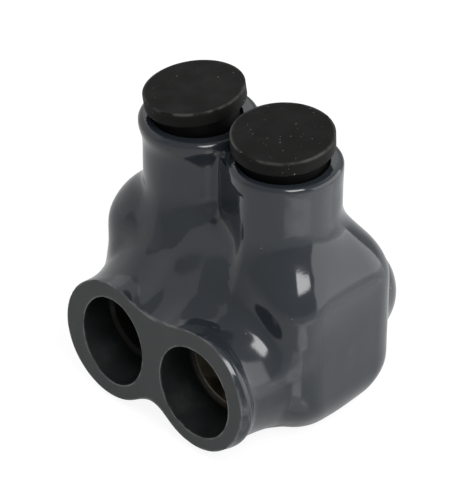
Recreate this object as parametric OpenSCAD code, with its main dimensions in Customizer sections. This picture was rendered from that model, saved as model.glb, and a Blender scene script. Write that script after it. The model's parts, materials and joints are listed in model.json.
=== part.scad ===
// Insulated two-conductor splice connector: a bored metal terminal block inside a
// dipped vinyl jacket, two socket set screws and two push-in access caps.
// X runs across the two ports, -Y is the cable entry side, +Z is up.
// The origin lies on the resting face, midway between the ports.

/* [Conductor bores] */
// Distance between the two conductor axes
port_pitch = 28.6; // [27.6:0.1:32]
// Height of the conductor axes above the resting face
port_height = 18.6; // [18.2:0.1:20]
// Diameter of each conductor bore in the block
bore_d = 20.4; // [17:0.1:20.8]
// Chamfer at the mouth of each conductor bore
bore_chamfer = 0.8; // [0.3:0.1:1]

/* [Terminal block] */
// Width of the block
block_w = 61; // [58:0.5:66]
// Depth of the block, along the bores
block_d = 30; // [29:0.5:36]
// Height of the block
block_h = 44.3; // [41:0.1:48]
// Radius of the block's upright edges
block_edge_r = 8; // [6:0.5:9]
// Radius of the block's top edges
block_top_r = 11; // [9:0.5:12]
// Radius of the block's bottom edges
block_bottom_r = 7; // [5:0.5:8]
// Wall of the round collar at the mouth of each bore
collar_wall = 2.6; // [2:0.1:2.8]
// Length of each collar in front of the block
collar_len = 7.5; // [5:0.5:9]

/* [Set screws] */
// Outside diameter of each set screw
screw_d = 17.5; // [16:0.1:18]
// Length of each set screw
screw_len = 22; // [20:0.5:24]
// Thread pitch
screw_pitch = 1.5875; // [1.25:0.0125:2]
// Thread depth
thread_depth = 0.9; // [0.5:0.1:1.1]
// Width of the hexagon socket across its flats
socket_flats = 9.5; // [8:0.1:10]
// Depth of the hexagon socket
socket_depth = 9; // [6:0.5:12]
// Gap between the screw's lower end and the top of the conductor bore
screw_lift = 1.8; // [0.5:0.1:3]
// Distance of the screw axes in front of the middle of the block
screw_offset = 2.6; // [0:0.1:4]
// Radial running clearance of each screw in its tapped hole
screw_clearance = 0.08; // [0.03:0.01:0.1]

/* [Jacket] */
// Jacket wall on the sides, front and back of the block
jacket_wall = 2.9; // [2.2:0.1:3.5]
// Jacket wall above and below the block
jacket_cover = 3; // [2.5:0.1:4]
// Bond gap between the jacket and the block
bond_gap = 0.05; // [0.02:0.01:0.1]
// Radius of the jacket's upright edges
jacket_edge_r = 9; // [7:0.5:10]
// Radius of the jacket's top edges
jacket_top_r = 13; // [11:0.5:14]
// Radius of the jacket's bottom edges
jacket_bottom_r = 9; // [6:0.5:10]

/* [Port sleeves] */
// Diameter of each port in the jacket
port_d = 23.4; // [22.4:0.1:24]
// Outside diameter of each port sleeve
sleeve_d = 31.8; // [31:0.1:33]
// Outside diameter of the rim at the cut face of each sleeve
rim_d = 33.4; // [32.5:0.1:34]
// Length of the rim
rim_len = 4; // [3:0.5:6]
// Length of the port in front of the collar
port_len = 9.8; // [7:0.1:14]
// Distance of the sleeves' axes below the conductor axes
sleeve_drop = 1.4; // [0:0.1:1.7]
// Height of the bridge between the sleeves above the sleeves' axes
bridge_top = 14.4; // [12:0.1:15]
// Depth of the bridge between the sleeves below the sleeves' axes
bridge_bottom = 9.6; // [8:0.1:12]

/* [Rear domes] */
// Outside diameter of each closed dome
dome_d = 26.4; // [26:0.1:28]
// Wall of each dome
dome_wall = 3; // [2.5:0.1:4]
// Length of each dome behind the jacket
dome_len = 14.1; // [12:0.1:16]
// Height of the domes' centres above the conductor axes
dome_rise = 1.9; // [0:0.1:2.4]

/* [Screw towers] */
// Outside diameter of each tower
tower_d = 27.4; // [27:0.1:28.4]
// Outside diameter of the rolled rim of each tower
tower_rim_d = 28.4; // [27.6:0.1:28.5]
// Height of the rolled rim
tower_rim_h = 6; // [4:0.5:10]
// Diameter of the well in each tower
well_d = 22.4; // [22:0.1:23]
// Height of the towers above the jacket's shoulders
tower_h = 18.7; // [15:0.1:24]
// Half thickness of the web between the towers
web_half = 5; // [3:0.5:7]
// Depth of the web's top below the tower rims
web_drop = 1.5; // [0.5:0.1:4]

/* [Access caps] */
// Diameter of the cap's flange
flange_d = 24.8; // [24:0.1:26]
// Thickness of the cap's flange
flange_t = 3.7; // [2.5:0.1:5]
// Bevel on the flange's edges
flange_edge = 0.4; // [0.2:0.1:0.8]
// Height at which the flange stands above the tower's rim
cap_stand = 3.8; // [2:0.1:5]
// Diameter of the plug between its sealing ribs
plug_d = 20.4; // [19:0.1:21]
// Length of the plug inside the tower
plug_len = 8.5; // [6:0.1:9]
// Wall of the hollow plug
plug_wall = 2.4; // [1.8:0.1:3]
// Width of each sealing rib
rib_w = 1.4; // [1:0.1:2]
// Radial clearance of the ribs in the well
rib_clearance = 0.06; // [0.03:0.01:0.1]

/* [Hidden] */
$fn = 72;
// Overlap that makes two solids of one piece run into each other
join = 0.5;
// Overrun of each cutting solid past the face that it opens
past = 1;
half_pitch = port_pitch / 2;
block_front = -block_d / 2;
block_z0 = jacket_cover;
block_z1 = block_z0 + block_h;
collar_d = bore_d + 2 * collar_wall;
collar_front = block_front - collar_len;
jacket_w = block_w + 2 * jacket_wall;
jacket_d = block_d + 2 * jacket_wall;
jacket_h = block_h + 2 * jacket_cover;
port_front = collar_front - port_len;
dome_end = jacket_d / 2 + dome_len;
tower_top = jacket_h + tower_h;
screw_z0 = port_height + bore_d / 2 + screw_lift;
// The wells bare the block's top down to the foot of its rounded edges
well_z0 = block_z1 - block_top_r;
flange_z0 = tower_top + cap_stand;
plug_z0 = tower_top - plug_len;
rib_d = well_d - 2 * rib_clearance;
// Places along one pitch where a thread's flank starts, its crest starts and its crest ends
thread_form = [0.05, 0.42, 0.58];
pvc_grey = [0.27, 0.28, 0.30];
rubber_black = [0.07, 0.07, 0.07];
bare_metal = [0.62, 0.61, 0.58];
screw_metal = [0.70, 0.70, 0.69];

// Rectangle with a low corner radius r0 and a high corner radius r1, standing on y = 0
module arch(w, h, r0, r1) {
    translate([-w / 2, r0]) square([w, h - r0 - r1]);
    translate([-w / 2 + r0, 0]) square([w - 2 * r0, h / 2]);
    translate([-w / 2 + r1, h / 2]) square([w - 2 * r1, h / 2]);
    for (s = [-1, 1]) {
        translate([s * (w / 2 - r0), r0]) circle(r0);
        translate([s * (w / 2 - r1), h - r1]) circle(r1);
    }
}

// Block with rounded edges: what three upright outlines have in common
module rounded_block(w, d, h, edge_r, bottom_r, top_r) {
    intersection() {
        translate([0, -d / 2, 0]) linear_extrude(h) arch(w, d, edge_r, edge_r);
        translate([0, d / 2, 0]) rotate([90, 0, 0]) linear_extrude(d) arch(w, h, bottom_r, top_r);
        translate([-w / 2, 0, 0]) rotate([90, 0, 90]) linear_extrude(w) arch(d, h, bottom_r, top_r);
    }
}

// Solid of revolution along Y: a cylinder of diameter d from y0 to y1
module along_y(d, y0, y1) {
    translate([0, y1, 0]) rotate([90, 0, 0]) cylinder(d = d, h = y1 - y0);
}

module at_ports() {
    for (s = [-1, 1]) translate([s * half_pitch, 0, port_height]) children();
}

module at_towers() {
    for (s = [-1, 1]) translate([s * half_pitch, -screw_offset, 0]) children();
}

// Block and collars, grown by g on every side
module block_body(g) {
    translate([0, 0, block_z0 - g])
        rounded_block(block_w + 2 * g, block_d + 2 * g, block_h + 2 * g,
                      block_edge_r + g, block_bottom_r + g, block_top_r + g);
    at_ports() along_y(collar_d + 2 * g, collar_front - g, 0);
}

module terminal_block() {
    color(bare_metal) difference() {
        block_body(0);
        at_ports() {
            along_y(bore_d, collar_front - past, block_d / 2 + past);
            translate([0, collar_front + bore_chamfer, 0]) rotate([90, 0, 0])
                cylinder(d1 = bore_d, d2 = bore_d + 4 * bore_chamfer, h = 2 * bore_chamfer);
        }
        at_towers() translate([0, 0, port_height])
            cylinder(d = screw_d + 2 * screw_clearance, h = block_z1 + past - port_height);
    }
}

// Outline of both sleeves in one: two round lobes and the bridge between them
module lobes(d, shrink, y0, y1) {
    at_ports() along_y(d, y0, y1);
    translate([-half_pitch, y0, port_height - bridge_bottom + shrink])
        cube([port_pitch, y1 - y0, bridge_bottom + bridge_top - 2 * shrink]);
}

module jacket_outside() {
    rounded_block(jacket_w, jacket_d, jacket_h, jacket_edge_r, jacket_bottom_r, jacket_top_r);
    translate([0, 0, -sleeve_drop]) {
        lobes(sleeve_d, (rim_d - sleeve_d) / 2, port_front + join, block_front);
        lobes(rim_d, 0, port_front, port_front + rim_len);
    }
    at_ports() translate([0, 0, dome_rise]) {
        along_y(dome_d, 0, dome_end - dome_d / 2);
        translate([0, dome_end - dome_d / 2, 0]) sphere(d = dome_d);
    }
    at_towers() {
        translate([0, 0, block_z0]) cylinder(d = tower_d, h = tower_top - block_z0);
        translate([0, 0, tower_top - tower_rim_h]) tower_rim();
    }
    translate([-half_pitch, -screw_offset - web_half, block_z0])
        cube([port_pitch, 2 * web_half, tower_top - web_drop - block_z0]);
}

// Rolled rim: a collar that swells from the tower's wall and rounds over at the top
module tower_rim() {
    swell = (tower_rim_d - tower_d) / 2;
    rotate_extrude() polygon([
        [tower_d / 2 - join, 0],
        [tower_d / 2, 0],
        [tower_rim_d / 2, tower_rim_h / 2],
        [tower_rim_d / 2, tower_rim_h - swell],
        [tower_rim_d / 2 - swell, tower_rim_h],
        [tower_d / 2 - join, tower_rim_h]
    ]);
}

module insulating_jacket() {
    pocket_d = dome_d - 2 * dome_wall;
    color(pvc_grey) difference() {
        jacket_outside();
        block_body(bond_gap);
        at_ports() {
            along_y(port_d, port_front - past, collar_front);
            translate([0, 0, dome_rise]) {
                along_y(pocket_d, 0, dome_end - dome_d / 2);
                translate([0, dome_end - dome_d / 2, 0]) sphere(d = pocket_d);
            }
        }
        at_towers() translate([0, 0, well_z0])
            cylinder(d = well_d, h = tower_top + past - well_z0);
    }
}

// Set screw, standing on z = 0: ring-shaped threads, crowned lower end, hexagon socket
module set_screw() {
    r = screw_d / 2;
    root = r - thread_depth;
    crown = thread_depth;
    turns = floor((screw_len - 2 * crown) / screw_pitch);
    z0 = (screw_len - turns * screw_pitch) / 2;
    color(screw_metal) difference() {
        rotate_extrude() polygon(concat(
            [[0, 0], [root - crown, 0], [root, z0]],
            [for (i = [0 : turns - 1], k = [0 : 2])
                [k == 0 ? root : r, z0 + screw_pitch * (i + thread_form[k])]],
            [[root, screw_len - z0], [root - crown, screw_len], [0, screw_len]]
        ));
        translate([0, 0, screw_len - socket_depth])
            cylinder(d = socket_flats / cos(30), h = socket_depth + past, $fn = 6);
    }
}

// Access cap in place on a tower axis: flange, hollow plug and two sealing ribs
module access_cap() {
    r = flange_d / 2;
    z1 = flange_z0 + flange_t;
    color(rubber_black) difference() {
        union() {
            translate([0, 0, plug_z0]) cylinder(d = plug_d, h = flange_z0 + join - plug_z0);
            rotate_extrude() polygon([
                [0, flange_z0], [r - flange_edge, flange_z0], [r, flange_z0 + flange_edge],
                [r, z1 - flange_edge], [r - flange_edge, z1], [0, z1]
            ]);
            for (z = [plug_z0 + rib_w, plug_z0 + plug_len / 2 + rib_w]) translate([0, 0, z])
                cylinder(d = rib_d, h = rib_w);
        }
        translate([0, 0, plug_z0 - past])
            cylinder(d = plug_d - 2 * plug_wall, h = flange_z0 + past - plug_z0);
    }
}

module left_set_screw() {
    translate([-half_pitch, -screw_offset, screw_z0]) set_screw();
}

module right_set_screw() {
    translate([half_pitch, -screw_offset, screw_z0]) set_screw();
}

module left_access_cap() {
    translate([-half_pitch, -screw_offset, 0]) access_cap();
}

module right_access_cap() {
    translate([half_pitch, -screw_offset, 0]) access_cap();
}

terminal_block();
insulating_jacket();
left_set_screw();
right_set_screw();
left_access_cap();
right_access_cap();
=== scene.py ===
"""Looks of an insulated splice connector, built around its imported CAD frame.

The connector is a bored metal block dipped in glossy vinyl: two cable sleeves cut off flat at the
front, two closed domes behind, and two towers that hold a socket set screw each under a rubber cap.
Lengths inside the shape code are in millimetres, and a mesh is scaled to metres when it is made.
X runs across the two ports, -Y is the side the cables go in, and Z is up. A distance is negative
inside a shape and nought on its skin.
"""
import json
import logging
import math
from dataclasses import dataclass
from enum import Enum

import bpy
import numpy as np
from mathutils import Matrix, Vector


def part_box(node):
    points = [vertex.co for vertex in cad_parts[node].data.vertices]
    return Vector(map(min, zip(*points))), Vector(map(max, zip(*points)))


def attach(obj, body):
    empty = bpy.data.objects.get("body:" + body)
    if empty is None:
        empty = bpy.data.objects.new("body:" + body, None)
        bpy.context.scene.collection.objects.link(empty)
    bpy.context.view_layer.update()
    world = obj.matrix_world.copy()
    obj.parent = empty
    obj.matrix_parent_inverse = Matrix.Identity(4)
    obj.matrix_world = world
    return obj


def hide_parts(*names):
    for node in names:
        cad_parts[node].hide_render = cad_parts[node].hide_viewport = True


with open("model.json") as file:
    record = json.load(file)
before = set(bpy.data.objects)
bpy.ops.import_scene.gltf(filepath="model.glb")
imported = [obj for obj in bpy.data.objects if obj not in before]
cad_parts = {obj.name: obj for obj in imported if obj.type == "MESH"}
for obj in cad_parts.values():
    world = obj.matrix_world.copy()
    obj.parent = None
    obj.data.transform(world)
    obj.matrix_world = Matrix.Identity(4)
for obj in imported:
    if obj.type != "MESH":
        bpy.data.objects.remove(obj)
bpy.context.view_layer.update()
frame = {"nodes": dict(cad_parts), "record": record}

log = logging.getLogger("connector")

MM = 0.001
TINY = 1e-9
Array = np.ndarray
Number = Array | float
Pair = tuple[float, float]
Triple = tuple[float, float, float]
Four = tuple[float, float, float, float]
Colour = tuple[float, float, float]
Socket = bpy.types.NodeSocket
Input = Socket | float | tuple


class Zone(Enum):
    """Finish of a face of the dipped jacket."""

    GLOSS = 0
    CUT = 1
    BORE = 2


class Side(Enum):
    """One of the two ports, with the sign of its X."""

    LEFT = -1
    RIGHT = 1

    @property
    def word(self) -> str:
        """The side as a word in names."""
        return self.name.lower()


# ---------------------------------------------------------------- shape arithmetic

def blend(a: Number, b: Number, t: Number) -> Number:
    """The value a part t of the way from a to b."""
    return a + (b - a) * t


def step(v: Number, start: Number, end: Number) -> Array:
    """Cubic step of v, 0 before start and 1 past end: 3t squared minus 2t cubed between them."""
    t = np.clip((v - start) / (end - start), 0.0, 1.0)
    return t * t * (3.0 - 2.0 * t)


def bell(v: Array, middle: float, width: Number) -> Array:
    """Bell curve, 1 at its middle: e to the minus square of the way from there over the width."""
    return np.exp(-((v - middle) / width) ** 2)


def smooth_min(a: Array, b: Array, k: Number) -> Array:
    """Smaller of two distances, rounded over a band k wide: less k/4 of the squared overlap."""
    overlap = np.maximum(k - np.abs(a - b), 0.0) / k
    return np.minimum(a, b) - overlap * overlap * k * 0.25


def rounded_corner(u: Array, v: Array, r: Number) -> Array:
    """Distance to the corner u < 0, v < 0 with radius r: a quarter round between its two sides."""
    u, v = u + r, v + r
    return np.minimum(np.maximum(u, v), 0) + np.hypot(np.maximum(u, 0), np.maximum(v, 0)) - r


def rounded_rect(u: Array, v: Array, a: float, b: float, r: Number) -> Array:
    """Distance to a rectangle of half sides a and b whose corners have radius r."""
    return rounded_corner(np.abs(u) - a, np.abs(v) - b, r)


def standing(section: Array, over: Array, under: Array, r_top: Number, r_low: float) -> Array:
    """Distance to an upright prism: its section and its two end planes, rounded by r_top above
    and by r_low below."""
    return rounded_corner(section, np.maximum(over, under), np.where(over > under, r_top, r_low))


def arch(u: Array, v: Array, w: float, h: float, r_low: float, r_high: float) -> Array:
    """Distance to a rectangle that stands on v = 0, with one corner radius low and one high."""
    r = np.where(v > h / 2, r_high, r_low)
    return rounded_rect(u, v - h / 2, w / 2, h / 2, r)


def unit(vectors: Array) -> Array:
    """Scales vectors to length 1."""
    return vectors / np.maximum(np.linalg.norm(vectors, axis=1, keepdims=True), TINY)


# ---------------------------------------------------------------- mesh making

def link(name: str, data: bpy.types.ID) -> bpy.types.Object:
    """Puts a mesh, lamp or camera into the scene as an object at the origin."""
    made = bpy.data.objects.new(name, data)
    bpy.context.scene.collection.objects.link(made)
    return made


def quad_skin(name: str, points: Array, quads: Array) -> bpy.types.Object:
    """Makes a smooth-shaded mesh object from arrays.

    Args:
        name: object and mesh name.
        points: (n, 3) places in millimetres.
        quads: (m, 4) vertex numbers, counter-clockwise seen from outside.

    Returns:
        The object, linked to the scene.
    """
    mesh = bpy.data.meshes.new(name)
    mesh.vertices.add(len(points))
    mesh.vertices.foreach_set("co", (points * MM).astype(np.float32).ravel())
    mesh.loops.add(quads.size)
    mesh.loops.foreach_set("vertex_index", quads.astype(np.int32).ravel())
    mesh.polygons.add(len(quads))
    mesh.polygons.foreach_set("loop_start", np.arange(0, quads.size, 4, dtype=np.int32))
    mesh.polygons.foreach_set("use_smooth", np.ones(len(quads), bool))
    mesh.update(calc_edges=True)
    mesh.validate()
    return link(name, mesh)


def add_values(piece: bpy.types.Object, name: str, values: Array) -> None:
    """Stores one number per vertex as a point attribute that materials can read."""
    attribute = piece.data.attributes.new(name, "FLOAT", "POINT")
    attribute.data.foreach_set("value", values.astype(np.float32))


def turned(name: str, rings: Array) -> bpy.types.Object:
    """Makes a closed skin from a grid of rings whose first and last rings are points.

    Args:
        name: name of the piece.
        rings: (rows, turns, 3) places; rows run from the outside's top centre down and round.

    Returns:
        The object, with its two poles closed by triangles.
    """
    rows, turns = rings.shape[:2]
    points = np.vstack([rings[0, :1], rings[1:-1].reshape(-1, 3), rings[-1, :1]])
    i, j = np.meshgrid(np.arange(rows - 3), np.arange(turns), indexing="ij")
    a, b = 1 + i * turns + j, 1 + i * turns + (j + 1) % turns
    quads = np.stack([a, a + turns, b + turns, b], -1).reshape(-1, 4)
    ring = np.arange(turns)
    after = (ring + 1) % turns
    last = 1 + (rows - 3) * turns
    top = np.stack([0 * ring, 1 + ring, 1 + after], -1)
    low = np.stack([0 * ring + len(points) - 1, last + after, last + ring], -1)
    mesh = bpy.data.meshes.new(name)
    mesh.from_pydata((points * MM).tolist(), [], quads.tolist() + top.tolist() + low.tolist())
    mesh.polygons.foreach_set("use_smooth", np.ones(len(mesh.polygons), bool))
    mesh.update()
    return link(name, mesh)


def rounded_profile(corners: list[Triple], steps: int = 5) -> Array:
    """Rounds the corners of a profile.

    Args:
        corners: radius from the axis, height and rounding radius of each corner, in order.
        steps: points along each rounding.

    Returns:
        (n, 2) radii and heights along the profile. Each rounding is the quadratic curve between
        the points one rounding radius before and behind its corner.
    """
    out = [np.array(corners[0][:2])[None]]
    t = np.linspace(0, 1, steps)[:, None]
    for before, here, after in zip(corners, corners[1:], corners[2:]):
        p, q, s = (np.array(c[:2]) for c in (before, here, after))
        r = here[2]
        a, b = (q + (end - q) / np.linalg.norm(end - q) * min(r, np.linalg.norm(end - q) * 0.5)
                for end in (p, s))
        out.append((1 - t) ** 2 * a + 2 * t * (1 - t) * q + t * t * b)
    out.append(np.array(corners[-1][:2])[None])
    return np.vstack(out)


def resampled(profile: Array, longest: float) -> Array:
    """Adds points so that no step along a profile is longer than a given length.

    Args:
        profile: (n, 2) radii and heights.
        longest: longest step allowed.

    Returns:
        The longer profile, with the old points kept.
    """
    out = [profile[:1]]
    for p, q in zip(profile, profile[1:]):
        n = max(1, int(np.ceil(np.linalg.norm(q - p) / longest)))
        out.append(p + (q - p) * (np.arange(1, n + 1) / n)[:, None])
    return np.vstack(out)


# ---------------------------------------------------------------- lattice skin

@dataclass
class Lattice:
    """Turns a distance function into a skin of quads, one vertex per crossed lattice cell.

    The function is read at the nodes of a box lattice. Each lattice edge whose ends differ in sign
    holds one point of the skin and its normal; each crossed cell holds the vertex that lies nearest
    to the planes of those points, which puts it on an edge or a corner where the shape has one.
    """

    shape: "JacketShape"
    axes: tuple[Array, Array, Array]
    reach: float = 0.02            # half the span over which a normal is measured
    halvings: int = 4              # false-position rounds on each crossed edge
    guard: float = 0.03            # share of an edge that a round keeps clear at its ends
    flat: float = 0.03             # share of the largest eigenvalue that counts as flat
    crease: float = 0.12           # share that counts as an edge
    slack: float = 0.02            # share of a cell that its vertex keeps clear at its walls
    leap: float = 0.3              # longest slide back onto the skin
    inset: float = 0.35            # how far into its quad a corner normal is measured
    agreement: float = 0.93        # cosine above which a vertex is shaded smooth

    def places(self, index: Array) -> Array:
        """Places of the nodes with the given (n, 3) lattice numbers."""
        return np.stack([axis[index[:, k]] for k, axis in enumerate(self.axes)], -1)

    def crossings(self, f: Array, axis: int) -> tuple[Array, Array, Array]:
        """Finds where the skin crosses the lattice edges along one axis.

        Args:
            f: distances at the nodes.
            axis: 0, 1 or 2.

        Returns:
            Node numbers of the crossed edges, the crossing points, and whether the lower end
            of each is inside.
        """
        a = np.moveaxis(f, axis, 0)
        crossed = (a[:-1] < 0) != (a[1:] < 0)
        index = np.argwhere(np.moveaxis(crossed, 0, axis))
        ahead = index + np.eye(3, dtype=int)[axis]
        p, q = self.places(index), self.places(ahead)
        fp, fq = f[tuple(index.T)], f[tuple(ahead.T)]
        inside = fp < 0
        for _ in range(self.halvings):
            t = np.clip(fp / (fp - fq), self.guard, 1 - self.guard)[:, None]
            m = p + (q - p) * t
            fm = self.shape.value(*m.T)
            low = (fm < 0) == (fp < 0)
            p, fp = np.where(low[:, None], m, p), np.where(low, fm, fp)
            q, fq = np.where(low[:, None], q, m), np.where(low, fq, fm)
        t = np.clip(fp / (fp - fq), 0, 1)[:, None]
        return index, p + (q - p) * t, inside

    def build(self) -> tuple[Array, Array, Array]:
        """Builds the skin.

        Returns:
            Vertices in millimetres, quads, and one normal per corner of each quad.
        """
        nodes = np.meshgrid(*self.axes, indexing="ij")
        f = self.shape.value(*(n.ravel() for n in nodes)).reshape(nodes[0].shape)
        cells = tuple(np.array(f.shape) - 1)
        found = []
        for axis in range(3):
            index, point, inside = self.crossings(f, axis)
            u, v = np.eye(3, dtype=int)[(axis + 1) % 3], np.eye(3, dtype=int)[(axis + 2) % 3]
            around = np.stack([index - u - v, index - v, index, index - u], 1)
            number = np.ravel_multi_index(np.moveaxis(around, 2, 0), cells)
            found.append((point, self.shape.gradient(point, self.reach), number,
                          np.where(inside[:, None], number, number[:, ::-1])))
        point, normal, cell, quad = (np.vstack(parts) for parts in zip(*found))
        used, cell = np.unique(cell, return_inverse=True)
        quad = np.searchsorted(used, quad)
        corner = np.stack(np.unravel_index(used, cells), -1)
        vertex, sharp = self.place(point, normal, cell.reshape(-1, 4), self.places(corner),
                                   self.places(corner + 1))
        vertex = self.relax(vertex, quad, sharp)
        return vertex, quad, self.corner_normals(vertex, quad)

    def place(self, point: Array, normal: Array, cell: Array, low: Array,
              high: Array) -> tuple[Array, Array]:
        """Places each cell's vertex where its tangent planes meet best.

        The least squares answer is found from the mean crossing point, through the eigenvectors of
        the summed outer products of the normals, leaving out directions that are nearly flat.

        Args:
            point: crossing points.
            normal: skin normals there.
            cell: the four cells round each crossed edge.
            low: lowest corner of each cell.
            high: highest corner of each cell.

        Returns:
            Vertices, and whether each lies on an edge or a tight rounding.
        """
        n, around = len(low), cell.ravel()

        def gather(values: Array) -> Array:
            """Adds up a value per crossing over the cells round it."""
            return np.bincount(around, np.repeat(values, 4), n)

        count = np.bincount(around, minlength=n)
        mass = np.stack([gather(point[:, k]) for k in range(3)], -1) / count[:, None]
        each = np.repeat(np.arange(len(point)), 4)
        lift = np.einsum("ij,ij->i", normal[each], point[each] - mass[around])
        ata = np.stack([np.stack([gather(normal[:, r] * normal[:, c]) for c in range(3)], -1)
                        for r in range(3)], 1)
        atb = np.stack([np.bincount(around, normal[each, k] * lift, n) for k in range(3)], -1)
        size, vectors = np.linalg.eigh(ata)
        share = size / size[:, 2:]
        inverse = np.where(share > self.flat, 1.0 / np.maximum(size, TINY), 0.0)
        offset = np.einsum("nij,nj,nkj,nk->ni", vectors, inverse, vectors, atb)
        slack = self.slack * (high - low)
        vertex = np.clip(mass + offset, low + slack, high - slack)
        return self.settle(vertex, 2), share[:, 1] > self.crease

    def settle(self, vertex: Array, rounds: int) -> Array:
        """Slides points along the gradient until the distance there is nought.

        Args:
            vertex: points near the skin.
            rounds: how often each slides.

        Returns:
            The points on the skin.
        """
        for _ in range(rounds):
            value = np.clip(self.shape.value(*vertex.T), -self.leap, self.leap)
            vertex = vertex - self.shape.gradient(vertex, self.reach) * value[:, None]
        return vertex

    def relax(self, vertex: Array, quad: Array, sharp: Array, rounds: int = 3) -> Array:
        """Evens out the quads.

        Each point on a smooth part moves half way to the mean of its neighbours and then back onto
        the skin.

        Args:
            vertex: points on the skin.
            quad: their quads.
            sharp: whether each point is on an edge, where it and its neighbours stay.
            rounds: how often each point moves.

        Returns:
            The moved points.
        """
        ends = np.vstack([quad[:, [k, (k + 1) % 4]] for k in range(4)])
        here, other = np.vstack([ends, ends[:, ::-1]]).T
        n = len(vertex)
        count = np.bincount(here, minlength=n)[:, None]
        held = sharp | (np.bincount(here, sharp[other].astype(float), n) > 0)
        for _ in range(rounds):
            mean = np.stack([np.bincount(here, vertex[other, k], n) for k in range(3)], -1) / count
            moved = self.settle(vertex + (mean - vertex) * 0.5, 1)
            vertex = np.where(held[:, None], vertex, moved)
        return vertex

    def corner_normals(self, vertex: Array, quad: Array) -> Array:
        """Works out one normal per quad corner.

        Args:
            vertex: points on the skin.
            quad: their quads.

        Returns:
            (m, 4, 3) normals: that of the vertex where the skin is smooth, and that of the skin a
            little way into the quad along a sharp edge.
        """
        corner = vertex[quad]
        inner = corner + (corner.mean(1)[:, None] - corner) * self.inset
        own = self.shape.gradient(inner.reshape(-1, 3), self.reach).reshape(corner.shape)
        shared = self.shape.gradient(vertex, self.reach)[quad]
        worst = np.ones(len(vertex))
        np.minimum.at(worst, quad.ravel(), np.einsum("qcj,qcj->qc", own, shared).ravel())
        return np.where((worst[quad] > self.agreement)[..., None], shared, own)


# ---------------------------------------------------------------- jacket

@dataclass(frozen=True)
class Sleeves:
    """The twin cable sleeves: two tubes whose waist is filled above and deep below.

    A low bell-shaped bead runs just behind the cut face. Above their axes the tubes widen towards
    the body, and their mouths are pulled a little out of line. A pair of heights or places gives
    where a change starts and ends.
    """

    half_pitch: float
    front: float
    back: float
    axis_z: float = 17.1
    radius: float = 15.5
    middle: Pair = (-7.0, 7.0)             # from the left sleeve to the right one
    mouth_shift: Pair = (-0.64, 0.3)       # sideways, of the left and the right mouth
    mouth_rise: Pair = (-0.14, 0.5)        # upwards
    mouth_reach: float = 12.0              # how far back the shift and the rise fade out
    waist: Pair = (8.0, 15.0)              # rounding between the tubes, below and above
    waist_z: Pair = (-6.0, 6.0)
    upper_z: Pair = (-7.0, 15.0)
    lower_z: Pair = (-1.0, -14.0)
    bead: Triple = (0.6, 0.5, 0.15)        # how proud the bead is, below, at the side and above
    bead_right: float = 0.9                # and how much prouder on the right flank
    bead_at: float = 1.5
    bead_width: float = 1.9
    right_flank: Pair = (11.0, 23.0)
    widening: Triple = (1.2, 3.2, 2.2)     # at the body, below, above, and more at the waist
    growth: Pair = (2.0, 1.2)              # power of its growth, and that at the waist
    waist_x: Pair = (14.0, 4.0)
    plain: float = 3.0                     # length behind the cut face without widening
    overrun: float = 1.3
    buried: float = 2.0

    def distance(self, x: Array, y: Array, z: Array) -> Array:
        """Distance to the sleeves.

        Two circles about the axes are joined by a rounded minimum. Their radius grows by the bead,
        a bell curve along Y, and by the widening, a power of the way from the front to the body.

        Args:
            x: places across the ports.
            y: places along the cables.
            z: heights.

        Returns:
            Distances at those places.
        """
        near, right = step(y, self.front + self.mouth_reach, self.front), step(x, *self.middle)
        xc = x - near * blend(*self.mouth_shift, right)
        zc = z - self.axis_z - near * blend(*self.mouth_rise, right)
        twin = smooth_min(np.hypot(xc - self.half_pitch, zc), np.hypot(xc + self.half_pitch, zc),
                          blend(*self.waist, step(zc, *self.waist_z)))
        up, down = step(zc, *self.upper_z), step(zc, *self.lower_z)
        low, side, high = self.bead
        proud = step(x, *self.right_flank) * (1 - down)
        bead = side + (high - side) * up + (low - side) * down + self.bead_right * proud
        bead = bead * bell(y, self.front + self.bead_at, self.bead_width * (1 + up * (1 - proud)))
        low, high, waist = self.widening
        mid = step(np.abs(x), *self.waist_x) * up
        start = self.front + self.plain * (1 - mid)
        along = np.clip((y - start) / (self.back - start), 0, self.overrun)
        rise = (blend(low, high, up) + waist * mid) * along ** blend(*self.growth, mid)
        return np.maximum(twin - (self.radius + bead + rise), y + self.buried)


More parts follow.
